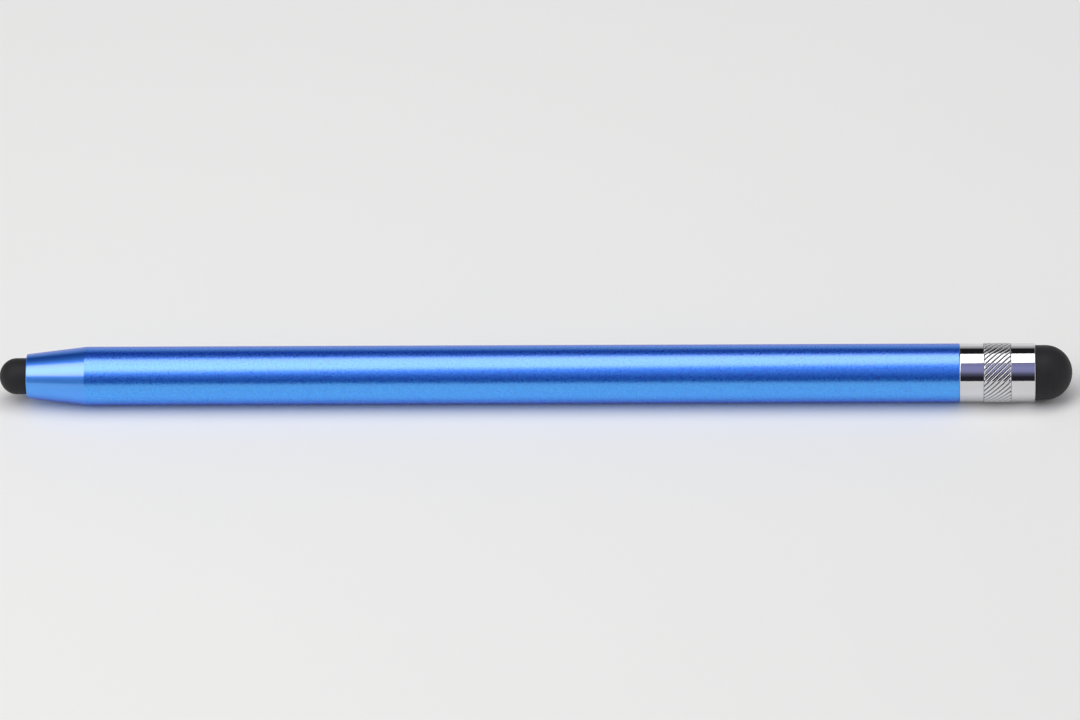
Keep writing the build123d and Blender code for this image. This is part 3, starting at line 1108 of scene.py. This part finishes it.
box_back = -unit(np.array(SOFTBOX_FACING))
box_across = unit(np.cross(box_back, np.array(SOFTBOX_ALONG)))
box_along = np.cross(box_across, box_back)
box_turn = Matrix(np.column_stack([box_along, box_across, box_back]).tolist()).to_4x4()
for name, width, tint, barrel_state in (
    ("softbox", SOFTBOX_WIDTH, SOFTBOX_TINT, "EXCLUDE"),
    ("barrel_softbox", TWIN_WIDTH, TWIN_TINT, "INCLUDE"),
):
    box_light = bpy.data.lights.new(name, "AREA")
    box_light.shape = "RECTANGLE"
    box_light.size = SOFTBOX_LENGTH
    box_light.size_y = width
    box_light.color = tint
    box_light.energy = SOFTBOX_RADIANCE * np.pi * SOFTBOX_LENGTH * width
    softbox = bpy.data.objects.new(name, box_light)
    softbox.matrix_world = Matrix.Translation(Vector(SOFTBOX_PLACE)) @ box_turn
    softbox.visible_camera = False
    scene.collection.objects.link(softbox)
    receivers = bpy.data.collections.new(name + "_receivers")
    receivers.objects.link(barrel)
    receivers.collection_objects[0].light_linking.link_state = barrel_state
    softbox.light_linking.receiver_collection = receivers
    print(name, "of", round(box_light.energy, 2), "W")

# %% [markdown]
# The camera looks down on the pen from the front at about 33 degrees, through a long lens, a little from
# the right: the seams at the right end look straight, and the nose's rim bows to the left. It could be set by
# eye, but its place follows exactly from the picture, which is 1080 by 720 points, with one point covering
# about 0.137 mm at the pen. The pen's middle isn't in the picture's middle, so the camera is moved in its own
# plane, and a slight roll lets the pen climb to the right.

# %% The camera
PHOTO_WIDTH = 1080
PHOTO_HEIGHT = 720
POINT_SIZE = 0.13668
PEN_MIDDLE = (534.85, 374.3)
CAMERA_ELEVATION = np.radians(33.3)
CAMERA_AZIMUTH = np.radians(2.4)
CAMERA_ROLL = np.radians(0.215)
CAMERA_DISTANCE = 1150.0
SENSOR_WIDTH = 36.0

back = np.array(
    [
        np.sin(CAMERA_AZIMUTH) * np.cos(CAMERA_ELEVATION),
        -np.cos(CAMERA_AZIMUTH) * np.cos(CAMERA_ELEVATION),
        np.sin(CAMERA_ELEVATION),
    ]
)
pen_direction = np.array([1.0, 0.0, 0.0])
level = unit(pen_direction - (pen_direction @ back) * back)
upright = np.cross(back, level)
right = np.cos(CAMERA_ROLL) * level - np.sin(CAMERA_ROLL) * upright
up = np.sin(CAMERA_ROLL) * level + np.cos(CAMERA_ROLL) * upright
pen_middle = np.array([(front_apex + rear_apex) / 2, 0, axis_height])
aside = (PHOTO_WIDTH / 2 - PEN_MIDDLE[0]) * POINT_SIZE
above = (PEN_MIDDLE[1] - PHOTO_HEIGHT / 2) * POINT_SIZE
camera_place = pen_middle + CAMERA_DISTANCE * back + aside * right + above * up

lens = bpy.data.cameras.new("camera")
lens.sensor_width = SENSOR_WIDTH
lens.lens = SENSOR_WIDTH * CAMERA_DISTANCE / (PHOTO_WIDTH * POINT_SIZE)
camera = bpy.data.objects.new("camera", lens)
turn_to_view = Matrix(np.column_stack([right, up, back]).tolist()).to_4x4()
camera.matrix_world = Matrix.Translation(Vector(camera_place * MM)) @ turn_to_view
scene.collection.objects.link(camera)
scene.camera = camera
scene.view_settings.view_transform = "Standard"
print("lens", round(lens.lens, 1), "mm")

# %% [markdown]
# Last, the box of the dressed pen is measured, and its largest difference from the CAD model's box is
# printed.

# %% Compare the sizes
visual_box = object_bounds()
box_difference = np.abs(np.array(visual_box) - np.array(cad_box)).max() / MM
print("the two boxes differ by", round(box_difference, 4), "mm at most")
